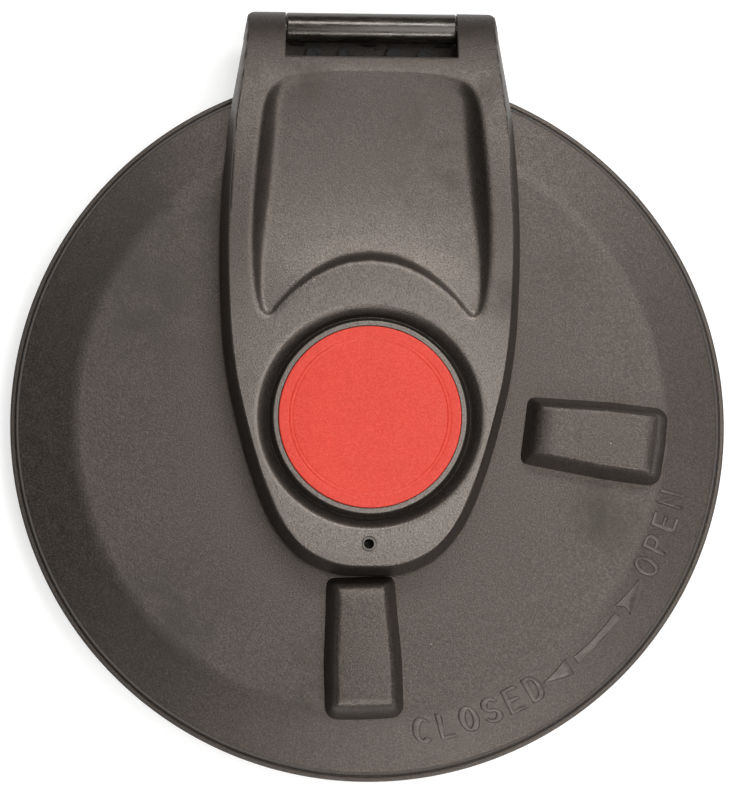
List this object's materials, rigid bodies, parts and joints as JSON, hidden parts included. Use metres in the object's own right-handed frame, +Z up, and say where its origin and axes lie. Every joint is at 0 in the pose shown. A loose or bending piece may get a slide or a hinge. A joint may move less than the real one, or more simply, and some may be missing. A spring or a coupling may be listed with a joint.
{
  "type": "hinged twist-lock tank lid",
  "caption": "Round hinged lid for a liquid tank: it turns under its arm to lock on a flanged neck, with a red centre cap, hand grips and a sprung breather.",
  "frame": {"origin": "centre of the neck's bolt circle, on the underside of the flange, where it meets its gasket", "axes": "+Z up out of the tank, +Y towards the hinge, +X along the hinge pin"},
  "size_m": [0.355, 0.3831, 0.0568],
  "materials": {
    "lid_plastic": "fine moulded grain, slightly oily",
    "arm_plastic": "fine moulded grain",
    "neck_plastic": "plain moulded",
    "cap_red": "satin, finely mottled",
    "barrel_black": "smooth, scuffed",
    "seal_rubber": "soft matt",
    "stainless": "satin",
    "black_steel": "blackened, dull",
    "brass": "turned",
    "nylon": "natural nylon"
  },
  "bodies": {
    "neck": {"neck_ring": "neck_plastic", "flange_gasket": "seal_rubber", "hinge_bracket": "neck_plastic", "hinge_barrel": "barrel_black", "knuckle_bushes": "barrel_black", "bracket_screws": "black_steel", "bracket_inserts": "brass"},
    "arm": {"hinge_arm": "arm_plastic", "hinge_pin": "stainless", "pin_caps": "barrel_black", "red_cap": "cap_red", "hub_spindle": "neck_plastic", "hub_screws": "stainless", "thrust_washer": "nylon", "spindle_nut": "neck_plastic", "spring_washer": "stainless", "tip_eyelet": "stainless", "vent_seat": "nylon", "vent_spring": "stainless", "vent_baffle": "neck_plastic"},
    "lid": {"lid_shell": "lid_plastic", "lid_seal": "seal_rubber", "hub_bush": "nylon", "hub_o_ring": "seal_rubber"},
    "vent": {"vent_poppet": "nylon", "vent_seal": "seal_rubber", "vent_clip": "stainless"}
  },
  "joints": [
    {"name": "arm_hinge", "type": "hinge", "parent": "neck", "child": "arm", "pos_m": [0, 0.1978, 0.027], "axis": [-1, 0, 0], "range_deg": [0, 105]},
    {"name": "lid_turn", "type": "hinge", "parent": "arm", "child": "lid", "pos_m": [0, 0, 0.029], "axis": [0, 0, 1], "range_deg": [-45, 0]},
    {"name": "vent_slide", "type": "slide", "parent": "arm", "child": "vent", "axis": [0, 0, -1], "range_m": [0, 0.003], "stiffness_N_per_m": 60, "springref_m": -0.003, "deforming": ["vent_spring"]}
  ]
}
